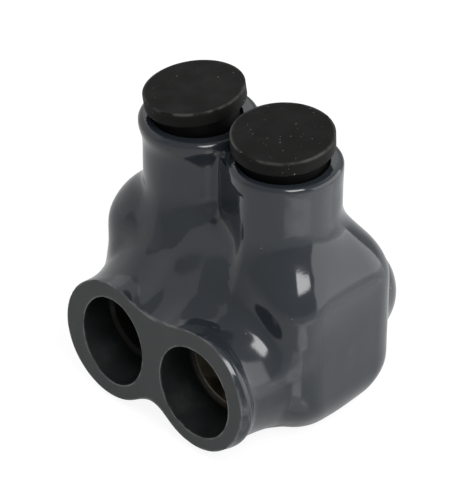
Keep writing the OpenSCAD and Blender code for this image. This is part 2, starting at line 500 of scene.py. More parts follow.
@dataclass(frozen=True)
class Towers:
    """The two towers, which flare at the rim, and the web between them.

    Vinyl has run down between them in a slanted face towards the front of the right tower, and
    that face also flattens the tower's inner front.
    """

    half_pitch: float
    top: float
    axis_y: float
    radius: float = 13.65
    foot: float = 5.0
    rim_r: float = 1.3
    foot_r: float = 1.0
    flare: Pair = (1.04, 0.16)             # left and right
    flare_drop: float = 1.8
    flare_height: float = 3.2
    web_half: float = 6.4
    web_drop: float = 2.5
    web_r: float = 1.6
    face_turn: float = math.radians(26.4)
    face_at: Pair = (14.0, -16.0)
    face_edge: float = 0.8
    face_z: Pair = (-5.0, -2.0)            # below the rim, where the face runs out
    spared: Pair = (3.0, 2.0)              # depth spared at the rim, and per length on the left
    run_mid: float = 2.5
    run_half: float = 6.5
    run_drop: float = 1.0
    run_r: Pair = (0.02, 0.52)             # rounding against the right and the left tower
    run_x: Pair = (3.0, 0.0)

    def distance(self, x: Array, y: Array, z: Array) -> Array:
        """Distance to the towers, the web and the run.

        The towers are round prisms, cut by the plane of the slanted face; the web is a prism
        between them, and the run is what lies behind that plane in front of the web.

        Args:
            x: places across the ports.
            y: places along the cables.
            z: heights.

        Returns:
            Distances at those places.
        """
        ax, yc = np.abs(x), y - self.axis_y
        flare = np.where(x < 0, *self.flare) * bell(z, self.top - self.flare_drop,
                                                    self.flare_height)
        tube = standing(np.hypot(ax - self.half_pitch, yc) - (self.radius + flare),
                        z - self.top, self.foot - z, self.rim_r, self.foot_r)
        face = (math.sin(self.face_turn) * (self.face_at[0] - x)
                + math.cos(self.face_turn) * (self.face_at[1] - y))
        at_rim, at_left = self.spared
        spared = at_rim * step(z - self.top, *self.face_z) + at_left * np.maximum(-x, 0.0)
        tube = -smooth_min(-tube, spared - face, self.face_edge)
        web_top = self.top - self.web_drop
        web = standing(np.maximum(np.abs(yc) - self.web_half, ax - self.half_pitch),
                       z - web_top, self.foot - z, self.web_r, self.foot_r)
        run = np.maximum(np.maximum(face, np.abs(x - self.run_mid) - self.run_half),
                         np.maximum(z - (web_top - self.run_drop), yc))
        return smooth_min(smooth_min(tube, web, self.web_r), run,
                          blend(*self.run_r, step(x, *self.run_x)))


@dataclass(frozen=True)
class Body:
    """The vinyl over the metal block: a crowned box, widely rounded above and below."""

    half_w: float
    half_d: float
    top: float
    edge_r: float = 9.3
    top_r: Pair = (13.15, 13.8)            # in front and behind
    top_y: Pair = (-12.0, 12.0)
    low_r: float = 12.5
    margin: float = 2.0
    bulge: float = 0.6
    crown: float = 1.5

    def distance(self, x: Array, y: Array, z: Array) -> Array:
        """Distance to the body.

        An upright prism, whose upright edges take on the wider radius of the top and the bottom
        near them. Its sides swell by a product of two cosines.

        Args:
            x: places across the ports.
            y: places along the cables.
            z: heights.

        Returns:
            Distances at those places.
        """
        top_r = blend(*self.top_r, step(y, *self.top_y))
        swell = self.bulge * (np.cos(np.clip(x / self.half_w, -1, 1) * self.crown)
                              * np.cos(np.clip(y / self.half_d, -1, 1) * self.crown))
        high = self.top - self.margin
        wide = step(z, high - top_r, high) * np.maximum(top_r - self.edge_r, 0)
        wide = wide + (step(z, self.low_r + self.margin, self.margin)
                       * max(self.low_r - self.edge_r, 0))
        section = rounded_rect(x, y, self.half_w, self.half_d, self.edge_r + wide)
        return standing(section - swell, z - self.top, -z, top_r, self.low_r)


@dataclass(frozen=True)
class Ripple:
    """Slow unevenness of the pour, from two products of sines."""

    height: float = 0.07
    sag: Four = (2.3, 5.1, 3.1, 2.7)       # wave lengths over 2 pi
    slow: Four = (6.1, 7.3, 7.7, 9.1)
    twist: float = 1.3
    phase: float = 0.7
    sag_share: float = 0.35
    calm_z: Pair = (0.5, 6.5)

    def depth(self, x: Array, y: Array, z: Array) -> Array:
        """How far the skin is raised; it is calm at the floor.

        Args:
            x: places across the ports.
            y: places along the cables.
            z: heights.

        Returns:
            Heights of the ripple at those places.
        """
        a, b, c, d = self.sag
        sag = np.sin(x / a + self.twist * np.sin(z / b)) * np.sin(z / c + y / d)
        a, b, c, d = self.slow
        slow = np.sin(x / a + y / b + self.phase) * np.sin(z / c - x / d)
        return self.height * step(z, *self.calm_z) * (self.sag_share * sag + slow)


@dataclass(frozen=True)
class JacketShape:
    """Distance function of the dipped jacket: negative inside the vinyl, nought on its skin.

    Body, twin sleeves, rear domes and towers run into each other through rounded minima, as poured
    vinyl does; ports, wells, wire-end pockets and the block's bed are cut out.
    """

    body: Body
    sleeves: Sleeves
    towers: Towers
    half_pitch: float
    port_z: float
    port_r: float
    screw_y: float
    rear: float
    block_low: Array
    block_high: Array
    collar_front: float
    ripple: Ripple = Ripple()
    mouth_z: float = 16.9
    droop: float = 9.0                     # how far back the ports droop
    squeeze: float = 0.11                  # how much narrower the left mouth is
    tilt: Pair = (-0.025, 0.058)           # slope of the cut face along X and Z
    well_r: float = 11.2
    pocket_r: float = 10.2
    dome_r: float = 13.5
    dome_z: float = 20.6
    dome_join: float = 4.5
    sleeve_join: Triple = (1.6, 2.4, 8.0)  # rounding below, above outside and above the waist
    sleeve_x: Pair = (26.0, 14.0)
    sleeve_rise: float = 12.0
    tower_join: Triple = (3.0, 6.8, 6.0)   # rounding at the left, at the right, and inside
    tower_x: Pair = (-6.0, 6.0)
    inside: Pair = (8.0, -2.0)             # from the tower's axis
    valley: Pair = (4.0, 2.0)              # rounding between the towers, left and right
    valley_x: Pair = (-3.0, 1.0)
    valley_left: Pair = (8.0, 3.0)
    valley_right: Pair = (15.0, 9.0)
    bed_gap: float = 0.05
    block_edge: float = 8.0
    block_low_r: float = 7.0
    block_top_r: float = 11.0
    collar_r: float = 12.8

    def off_dome(self, ax: Array, y: Array, z: Array) -> Array:
        """Distance to the domes' middles: straight lines along Y that end one radius before the
        rear, at ax from which the half pitch is taken already."""
        back = np.maximum(y - (self.rear - self.dome_r), 0)
        return np.sqrt(ax ** 2 + back ** 2 + (z - self.dome_z) ** 2)

    def poured(self, x: Array, y: Array, z: Array) -> Array:
        """Distance to the outer shape as poured, before the front is cut and the base flattened.

        Args:
            x: places across the ports.
            y: places along the cables.
            z: heights.

        Returns:
            Distances at those places: the rounded minimum of the four shapes, less the ripple.
        """
        ax = np.abs(x)
        dome = self.off_dome(ax - self.half_pitch, y, z) - self.dome_r
        d = smooth_min(self.body.distance(x, y, z), np.maximum(dome, -y), self.dome_join)
        under, outer, middle = self.sleeve_join
        level = self.sleeves.axis_z
        k = blend(under, blend(outer, middle, step(ax, *self.sleeve_x)),
                  step(z, level, level + self.sleeve_rise))
        d = smooth_min(d, self.sleeves.distance(x, y, z), k)
        left, right, inner = self.tower_join
        k = blend(blend(left, right, step(x, *self.tower_x)), inner,
                  step(ax - self.half_pitch, *self.inside))
        between = np.where(x < 0, step(ax, *self.valley_left), step(ax, *self.valley_right))
        k = blend(k, blend(*self.valley, step(x, *self.valley_x)), between)
        d = smooth_min(d, self.towers.distance(x, y, z), k)
        return d - self.ripple.depth(x, y, z)

    def outside(self, x: Array, y: Array, z: Array) -> Array:
        """Distance to the outer shape, cut off flat at the front and flat underneath."""
        return np.maximum(self.poured(x, y, z), np.maximum(self.cut(x, z) - y, -z))

    def cut(self, x: Array, z: Array) -> Array:
        """Place of the cut face along Y: a plane a little out of square."""
        return (self.sleeves.front + self.tilt[0] * x
                + self.tilt[1] * (z - self.sleeves.axis_z))

    def bed(self, x: Array, y: Array, z: Array) -> Array:
        """Distance to the bed of the metal block.

        The bed is the common part of the block's outlines from above, the front and the side, and
        its two round collars, all wider by the gap.

        Args:
            x: places across the ports.
            y: places along the cables.
            z: heights.

        Returns:
            Distances at those places.
        """
        g = self.bed_gap
        w, d, h = (self.block_high - self.block_low) + 2 * g
        lift = z - (self.block_low[2] - g)
        edge, low_r, top_r = self.block_edge + g, self.block_low_r + g, self.block_top_r + g
        block = np.maximum(arch(x, y + d / 2, w, d, edge, edge),
                           np.maximum(arch(x, lift, w, h, low_r, top_r),
                                      arch(y, lift, d, h, low_r, top_r)))
        collar = np.hypot(np.abs(x) - self.half_pitch, z - self.port_z) - (self.collar_r + g)
        return np.minimum(block, np.maximum(collar, np.maximum(self.collar_front - g - y, y)))

    def hollows(self, x: Array, y: Array, z: Array) -> Array:
        """Distance to what is cut out.

        Ports are circles that droop towards the mouth, the left one squeezed sideways. Wells are
        upright, pockets are rounded behind like the domes.

        Args:
            x: places across the ports.
            y: places along the cables.
            z: heights.

        Returns:
            Distances at those places.
        """
        ax = np.abs(x) - self.half_pitch
        front = self.sleeves.front
        deep = step(y, front, front + self.droop)
        squeeze = 1 + self.squeeze * np.where(x < 0, 1 - deep, 0)
        port = np.hypot(ax * squeeze, z - blend(self.mouth_z, self.port_z, deep)) - self.port_r
        well = np.hypot(ax, y - self.screw_y) - self.well_r
        pocket = self.off_dome(ax, y, z) - self.pocket_r
        return np.minimum(
            np.minimum(np.maximum(port, y - self.collar_front),
                       np.maximum(well, self.block_high[2] - self.block_top_r - z)),
            np.minimum(np.maximum(pocket, -y), self.bed(x, y, z)))

    def value(self, x: Array, y: Array, z: Array) -> Array:
        """Distance to the vinyl: its outer shape without its hollows."""
        return np.maximum(self.outside(x, y, z), -self.hollows(x, y, z))

    def gradient(self, p: Array, e: float) -> Array:
        """Unit normals at (n, 3) places, by central differences over e."""
        return unit(np.stack([self.value(*(p + d).T) - self.value(*(p - d).T)
                              for d in e * np.eye(3)], -1))


# ---------------------------------------------------------------- shader trees

class Graph:
    """Short hand for building a shader tree: each method adds a node and gives back its output."""

    def __init__(self, tree: bpy.types.NodeTree) -> None:
        """Takes the tree of a material, a world or a group."""
        self.tree = tree

    def link(self, source: Input, target: Socket) -> None:
        """Joins a socket to an input, or writes a constant into it.

        Args:
            source: an output, a number or a vector; a 3-tuple becomes an opaque colour where the
                input is one.
            target: the input.
        """
        if isinstance(source, Socket):
            self.tree.links.new(source, target)
        elif isinstance(source, tuple) and target.type == "RGBA":
            target.default_value = (*source, 1.0)
        else:
            target.default_value = source

    def node(self, kind: str, inputs: dict | None = None, **settings: object) -> bpy.types.Node:
        """Adds a node.

        Args:
            kind: node type without its ShaderNode, which is put before it.
            inputs: values by input name or number.
            settings: the node's own settings.

        Returns:
            The node.
        """
        n = self.tree.nodes.new("ShaderNode" + kind)
        for key, value in settings.items():
            setattr(n, key, value)
        for key, value in (inputs or {}).items():
            self.link(value, n.inputs[key])
        return n

    def found(self, kind: str) -> bpy.types.Node:
        """The tree's first node of a type."""
        return next(n for n in self.tree.nodes if n.type == kind)

    def math(self, operation: str, a: Input, b: Input = 0.0) -> Socket:
        """Value of a Math node."""
        return self.node("Math", {0: a, 1: b}, operation=operation).outputs[0]

    def times(self, a: Input, b: Input) -> Socket:
        """Product of two values."""
        return self.math("MULTIPLY", a, b)

    def plus(self, a: Input, b: Input) -> Socket:
        """Sum of two values."""
        return self.math("ADD", a, b)

    def ramp(self, value: Input, low: float, high: float, a: float = 0.0,
             b: float = 1.0) -> Socket:
        """Smooth step of a value.

        Args:
            value: the value.
            low: limit where the step starts.
            high: limit where it ends.
            a: result at the first limit.
            b: result at the second limit.

        Returns:
            The stepped value.
        """
        n = self.node("MapRange", {"Value": value, "From Min": low, "From Max": high,
                                   "To Min": a, "To Max": b}, interpolation_type="SMOOTHSTEP")
        return n.outputs["Result"]

    def noise(self, where: Socket, scale: Input, detail: float, roughness: float = 0.5) -> Socket:
        """Noise value at a place, about 0.5 on average."""
        return self.node("TexNoise", {"Vector": where, "Scale": scale, "Detail": detail,
                                      "Roughness": roughness}).outputs["Fac"]

    def mix(self, fac: Socket, a: Input, b: Input) -> Socket:
        """Mix of two colours.

        Args:
            fac: share of the second.
            a: first colour.
            b: second colour.

        Returns:
            The mixed colour.
        """
        n = self.node("Mix", {"Factor": fac}, data_type="RGBA")
        for name, value in (("A", a), ("B", b)):
            self.link(value, next(s for s in n.inputs if s.name == name and s.type == "RGBA"))
        return next(s for s in n.outputs if s.type == "RGBA")

    def group(self, tree: bpy.types.NodeTree, **inputs: Input) -> bpy.types.NodeOutputs:
        """Places a node group.

        Args:
            tree: the group.
            inputs: values for its named inputs; a word's _ stands for a space.

        Returns:
            The group's outputs by name.
        """
        n = self.node("Group", node_tree=tree)
        for key, value in inputs.items():
            self.link(value, n.inputs[key.replace("_", " ")])
        return n.outputs


class Effects:
    """The node groups that several finishes share. They put out values and colours only."""

    cloud_share: float = 0.7               # of the mottle; the rest is grain
    mottle_gain: float = 4.0
    wear_limits: Pair = (0.34, 0.6)        # of the noise that thins an edge

    def __init__(self) -> None:
        """Builds every group once."""
        self.mottle = self.mottled_colour()
        self.dust = self.dust_specks()
        self.wear = self.worn_edge()
        self.skin = self.surface_height()

    def start(self, name: str, inputs: dict[str, Input | None],
              outputs: dict[str, str]
              ) -> tuple[Graph, bpy.types.NodeOutputs, bpy.types.NodeInputs]:
        """Makes an empty node group.

        Args:
            name: the group's name.
            inputs: names and default values; a 3-tuple is a colour, None a vector.
            outputs: names and kinds, such as Float.

        Returns:
            Its graph, the sockets that its inputs give, and those that its outputs take.
        """
        tree = bpy.data.node_groups.new(name, "ShaderNodeTree")
        g = Graph(tree)
        for key, value in inputs.items():
            kind = ("Vector" if value is None else
                    "Color" if isinstance(value, tuple) else "Float")
            socket = tree.interface.new_socket(key, in_out="INPUT", socket_type="NodeSocket" + kind)
            if value is not None:
                socket.default_value = (*value, 1.0) if kind == "Color" else value
        for key, kind in outputs.items():
            tree.interface.new_socket(key, in_out="OUTPUT", socket_type="NodeSocket" + kind)
        return (g, tree.nodes.new("NodeGroupInput").outputs,
                tree.nodes.new("NodeGroupOutput").inputs)

    def mottled_colour(self) -> bpy.types.NodeTree:
        """Colour that drifts lighter and darker in clouds and in a fine grain.

        Returns:
            The group: the colour times 1 plus gain times amount times the noise less 0.5, and the
            cloud by itself.
        """
        g, given, out = self.start(
            "mottled_colour",
            {"Vector": None, "Colour": (0.1, 0.1, 0.1), "Cloud Scale": 60.0, "Grain Scale": 900.0,
             "Amount": 0.1}, {"Colour": "Color", "Cloud": "Float"})
        cloud = g.noise(given["Vector"], given["Cloud Scale"], 3.0)
        grain = g.noise(given["Vector"], given["Grain Scale"], 2.0)
        both = g.plus(g.times(cloud, self.cloud_share), g.times(grain, 1 - self.cloud_share))
        level = g.times(g.math("SUBTRACT", both, 0.5), given["Amount"])
        scaled = g.node("VectorMath", {0: given["Colour"]}, operation="SCALE")
        g.link(g.plus(g.times(level, self.mottle_gain), 1.0), scaled.inputs["Scale"])
        g.link(scaled.outputs[0], out["Colour"])
        g.link(cloud, out["Cloud"])
        return g.tree

    def dust_specks(self) -> bpy.types.NodeTree:
        """Mask of sparse specks.

        Returns:
            The group: the cores of scattered cells, each of its own size, a share of them kept.
        """
        g, given, out = self.start(
            "dust_specks", {"Vector": None, "Scale": 700.0, "Size": 0.12, "Density": 0.5},
            {"Mask": "Float"})
        cell = g.node("TexVoronoi", {"Vector": given["Vector"], "Scale": given["Scale"]})
        pick = g.node("SeparateColor", {"Color": cell.outputs["Color"]})
        core = g.math("LESS_THAN", cell.outputs["Distance"],
                      g.times(pick.outputs[1], given["Size"]))
        kept = g.math("LESS_THAN", pick.outputs[0], given["Density"])
        g.link(g.times(core, kept), out["Mask"])
        return g.tree

    def worn_edge(self) -> bpy.types.NodeTree:
        """Mask of a worn or pale edge.

        Returns:
            The group: an edge value thinned by a rough noise.
        """
        g, given, out = self.start(
            "worn_edge", {"Vector": None, "Edge": 0.0, "Scale": 500.0, "Amount": 1.0},
            {"Mask": "Float"})
        keep = g.ramp(g.noise(given["Vector"], given["Scale"], 4.0), *self.wear_limits)
        g.link(g.times(g.times(given["Edge"], keep), given["Amount"]), out["Mask"])
        return g.tree

    def surface_height(self) -> bpy.types.NodeTree:
        """Height of a poured or moulded surface.

        Returns:
            The group: slow swells plus a share of fine peel.
        """
        g, given, out = self.start(
            "surface_height", {"Vector": None, "Swell Scale": 90.0, "Peel Scale": 900.0,
                               "Peel": 0.2}, {"Height": "Float"})
        swell = g.noise(given["Vector"], given["Swell Scale"], 1.0)
        peel = g.noise(given["Vector"], given["Peel Scale"], 3.0)
        g.link(g.plus(swell, g.times(peel, given["Peel"])), out["Height"])
        return g.tree


class Surface(Graph):
    """A material in the making: a Principled shader, Object coordinates and the shared effects."""

    lip_end: float = 0.95                  # lip value of a full lip
    cloud_end: float = 0.7                 # cloud value of the roughest places

    def __init__(self, name: str, fx: Effects, specular: float) -> None:
        """Starts a material.

        Args:
            name: the material's name.
            fx: the shared effects.
            specular: its specular level, the same all over.
        """
        self.material = bpy.data.materials.new(name)
        self.material.use_nodes = True
        super().__init__(self.material.node_tree)
        self.fx = fx
        self.shader = self.found("BSDF_PRINCIPLED")
        self.shader.inputs["Specular IOR Level"].default_value = specular
        self.where = self.node("TexCoord").outputs["Object"]

    def value_of(self, name: str) -> Socket:
        """The piece's own value with that name."""
        return self.node("Attribute", attribute_name=name).outputs["Fac"]

    def tone(self, colour: Colour, cloud: float, grain: float,
             amount: float) -> tuple[Socket, Socket]:
        """The mottled colour, and its cloud."""
        made = self.group(self.fx.mottle, Vector=self.where, Colour=colour, Cloud_Scale=cloud,
                          Grain_Scale=grain, Amount=amount)
        return made["Colour"], made["Cloud"]

    def worn(self, edge: Socket, scale: float, amount: float) -> Socket:
        """Mask of a worn edge."""
        return self.group(self.fx.wear, Vector=self.where, Edge=edge, Scale=scale,
                          Amount=amount)["Mask"]

    def lip(self, start: float, scale: float, amount: float) -> Socket:
        """Mask of the pale lip along the rims of the cut face, from a lip value of start up."""
        return self.worn(self.ramp(self.value_of("lip"), start, self.lip_end), scale, amount)

    def clouded(self, cloud: Socket, limits: Pair, start: float = 0.3) -> Socket:
        """Roughness that follows the cloud between two limits."""
        return self.ramp(cloud, start, self.cloud_end, *limits)

    def specks(self, scale: float, size: float, density: float) -> Socket:
        """Mask of dust specks."""
        return self.group(self.fx.dust, Vector=self.where, Scale=scale, Size=size,
                          Density=density)["Mask"]

    def skin(self, swell: float, fine: float, peel: float) -> Socket:
        """Height of a poured or moulded surface."""
        return self.group(self.fx.skin, Vector=self.where, Swell_Scale=swell, Peel_Scale=fine,
                          Peel=peel)["Height"]

    def drawn(self, scale: Triple) -> Socket:
        """Noise stretched into lines: a scale of its own along each axis."""
        place = self.node("Mapping", {"Vector": self.where, "Scale": scale}).outputs["Vector"]
        return self.noise(place, 1.0, 3.0)

    def finish(self, colour: Socket, roughness: Socket, height: Socket, strength: float,
               distance: float) -> bpy.types.Material:
        """Joins the results to the shader.

        Args:
            colour: base colour.
            roughness: roughness.
            height: height for the bump.
            strength: strength of the bump.
            distance: height of the bump in metres.

        Returns:
            The finished material.
        """
        bump = self.node("Bump", {"Strength": strength, "Distance": distance, "Height": height})
        for socket, name in ((colour, "Base Color"), (roughness, "Roughness"),
                             (bump.outputs["Normal"], "Normal")):
            self.link(socket, self.shader.inputs[name])
        return self.material


@dataclass(frozen=True)
class GlossVinyl:
    """Dipped vinyl, glossy as poured, with a pale burr where it meets the cut face."""

    colour: Colour = (0.0175, 0.022, 0.0275)
    burr: Colour = (0.16, 0.165, 0.165)
    dust: Colour = (0.16, 0.16, 0.15)
    roughness: Pair = (0.08, 0.16)
    burr_roughness: float = 0.4
    peel: float = 0.04

    def make(self, name: str, fx: Effects) -> bpy.types.Material:
        """Builds the finish.

        Args:
            name: the material's name.
            fx: the shared effects.

        Returns:
            The material; its burr follows the piece's lip values.
        """
        s = Surface(name, fx, specular=0.5)
        tone, cloud = s.tone(self.colour, cloud=70.0, grain=1500.0, amount=0.10)
        burr = s.lip(start=0.6, scale=350.0, amount=0.35)
        specks = s.specks(scale=420.0, size=0.10, density=0.05)
        return s.finish(s.mix(specks, s.mix(burr, tone, self.burr), self.dust),
                        s.plus(s.clouded(cloud, self.roughness, start=0.35),
                               s.times(burr, self.burr_roughness)),
                        s.skin(swell=110.0, fine=1400.0, peel=self.peel),
                        strength=0.5, distance=0.0004)


@dataclass(frozen=True)
class CutVinyl:
    """Vinyl sliced by a blade: flat and matt, with faint drag lines and a pale lip at its edges."""

    colour: Colour = (0.040, 0.044, 0.045)
    lip: Colour = (0.19, 0.195, 0.195)
    roughness: Pair = (0.5, 0.62)
    drag: Triple = (300.0, 300.0, 2600.0)

    def make(self, name: str, fx: Effects) -> bpy.types.Material:
        """Builds the finish.

        Args:
            name: the material's name.
            fx: the shared effects.

        Returns:
            The material; its pale lip follows the piece's lip values.
        """
        s = Surface(name, fx, specular=0.35)
        tone, cloud = s.tone(self.colour, cloud=130.0, grain=2400.0, amount=0.14)
        worn = s.lip(start=0.55, scale=300.0, amount=0.7)
        return s.finish(s.mix(worn, tone, self.lip), s.clouded(cloud, self.roughness),
                        s.drawn(self.drag), strength=0.35, distance=0.00015)


@dataclass(frozen=True)
class BoreVinyl:
    """Inner walls of ports and wells: satin mottled vinyl, darkened as painted shade."""

    # Painted shade: darker than the gloss vinyl, for the shade inside ports, wells and pockets.
    colour: Colour = (0.010, 0.0115, 0.012)
    lip: Colour = (0.14, 0.145, 0.14)
    roughness: Pair = (0.35, 0.55)

    def make(self, name: str, fx: Effects) -> bpy.types.Material:
        """Builds the finish.

        Args:
            name: the material's name.
            fx: the shared effects.

        Returns:
            The material; the piece's lip values make the mouth's edge pale.
        """
        s = Surface(name, fx, specular=0.25)
        tone, cloud = s.tone(self.colour, cloud=160.0, grain=1800.0, amount=0.2)
        worn = s.lip(start=0.6, scale=500.0, amount=0.4)
        return s.finish(s.mix(worn, tone, self.lip), s.clouded(cloud, self.roughness),
                        s.skin(swell=260.0, fine=1600.0, peel=0.3), strength=0.4, distance=0.0003)


@dataclass(frozen=True)
class CapRubber:
    """Black moulded rubber: matt, dusty, rubbed pale at the flange; painted shade on the plug."""

    colour: Colour = (0.0045, 0.0045, 0.0042)
    rubbed: Colour = (0.07, 0.07, 0.066)
    dust: Colour = (0.22, 0.22, 0.21)
    # Painted shade: near-black colour of the plug under the flange, where shade falls.
    plug_shade_colour: Colour = (0.0012, 0.0012, 0.0012)
    plug_shade_edge: Pair = (-0.3, -0.7)         # edge values from the flange's rubber to the plug's painted shade
    roughness: Pair = (0.52, 0.66)
    dusty: float = 0.12

    def make(self, name: str, fx: Effects) -> bpy.types.Material:
        """Builds the finish.

        Args:
            name: the material's name.
            fx: the shared effects.

        Returns:
            The material; the piece's edge values say where it is rubbed, and are below nought on
            the plug under the flange, which takes painted shade in near-black.
        """
        s = Surface(name, fx, specular=0.11)
        tone, cloud = s.tone(self.colour, cloud=180.0, grain=1300.0, amount=0.22)
        edge = s.value_of("edge")
        colour = s.mix(s.worn(edge, scale=260.0, amount=0.8), tone, self.rubbed)
        colour = s.mix(s.specks(scale=1150.0, size=0.17, density=self.dusty), colour, self.dust)
        # Painted shade: below the flange the plug turns near-black.
        colour = s.mix(s.ramp(edge, *self.plug_shade_edge), colour, self.plug_shade_colour)
        return s.finish(colour, s.clouded(cloud, self.roughness),
                        s.skin(swell=140.0, fine=2200.0, peel=0.5), strength=0.35, distance=0.0002)


@dataclass(frozen=True)
class MachinedMetal:
    """Bare aluminium: turning lines round one axis, dull film of joint compound, painted shade."""

    colour: Colour = (0.34, 0.30, 0.23)
    film: Colour = (0.15, 0.128, 0.088)
    filmed: float = 0.6                    # how much of the metal the film covers
    film_scale: float = 150.0
    film_limits: Pair = (0.62, 0.8)        # noise values of a thin and a full film on clean metal
    film_reach: float = 0.4                # how far a covered metal lowers them
    film_dull: float = 0.7                 # metal shine that a full film takes away
    film_rough: float = 0.4
    # Painted shade: near-black for the left bore and a ring at the mouths, where shade falls.
    bore_shade_colour: Colour = (0.009, 0.009, 0.008)
    bore_shade: float = 0.0                    # how fully painted shade darkens the left bore
    left_x: Pair = (-0.002, 0.002)         # from left to right, in metres
    mouth_y: float = 0.0                   # front end of the metal
    mouth_ring: Pair = (0.0004, 0.001)     # from there, the imported ring at the mouths, which painted shade darkens
    # how fully painted shade darkens that ring
    mouth_shade: float = 0.93
    roughness: Pair = (0.37, 0.65)
    rough_limits: Pair = (0.3, 0.9)
    lines: Triple = (120.0, 2200.0, 120.0)

    def make(self, name: str, fx: Effects) -> bpy.types.Material:
        """Builds the finish.

        Args:
            name: the material's name.
            fx: the shared effects.

        Returns:
            The material; its lines run across the direction with the large scale.
        """
        s = Surface(name, fx, specular=0.2)
        tone, _ = s.tone(self.colour, cloud=90.0, grain=1700.0, amount=0.12)
        lower = self.filmed * self.film_reach
        smear = s.ramp(s.noise(s.where, self.film_scale, detail=4.0, roughness=0.6),
                       self.film_limits[0] - lower, self.film_limits[1] - lower)
        colour = s.mix(smear, tone, self.film)
        shine = s.math("SUBTRACT", 1.0, s.times(smear, self.film_dull))
        # Painted shade: the left bore and the mouths' ring turn near-black and lose their shine.
        if self.bore_shade:
            painted_shade_mask = self.painted_shade_mask(s)
            colour = s.mix(painted_shade_mask, colour, self.bore_shade_colour)
            shine = s.times(shine, s.math("SUBTRACT", 1.0, painted_shade_mask))
        s.link(shine, s.shader.inputs["Metallic"])
        lines = s.drawn(self.lines)
        roughness = s.ramp(s.plus(lines, s.times(smear, self.film_rough)), *self.rough_limits,
                           *self.roughness)
        return s.finish(colour, roughness, lines, strength=0.4, distance=0.0001)

    def painted_shade_mask(self, s: Surface) -> Socket:
        """Mask of painted shade.

        Args:
            s: the material in the making.

        Returns:
            Its value: high in the left bore, and in a ring at both mouths.
        """
        place = s.node("SeparateXYZ", {"Vector": s.where}).outputs
        left = s.ramp(place["X"], *self.left_x, self.bore_shade, 0.0)
        start, end = (self.mouth_y + y for y in self.mouth_ring)
        return s.math("MAXIMUM", left, s.ramp(place["Y"], start, end, self.mouth_shade, 0.0))


# ---------------------------------------------------------------- sub-assemblies

@dataclass(frozen=True)
class Layout:
    """Places that every sub-assembly shares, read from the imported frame, in millimetres."""

    half_pitch: float
    port_z: float
    port_r: float
    screw_y: float
    block: tuple[Array, Array]
    jacket: tuple[Array, Array]
    cap: tuple[Array, Array]
    screw: tuple[Array, Array]

    @classmethod
    def read(cls) -> "Layout":
        """Reads the right port's mounts and the node boxes from the frame.

        Returns:
            The layout; the left side mirrors the right one.
        """
        mounts = {m["name"]: m for m in frame["record"]["mounts"]}
        port, drive = mounts["right_port"], mounts["right_screw_drive"]
        boxes = [tuple(np.array(corner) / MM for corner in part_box(node))
                 for node in ("terminal_block", "insulating_jacket", "right_access_cap",
                              "right_set_screw")]
        return cls(port["pos_m"][0] / MM, port["pos_m"][2] / MM, port["dims"]["r_mm"],
                   drive["pos_m"][1] / MM, *boxes)


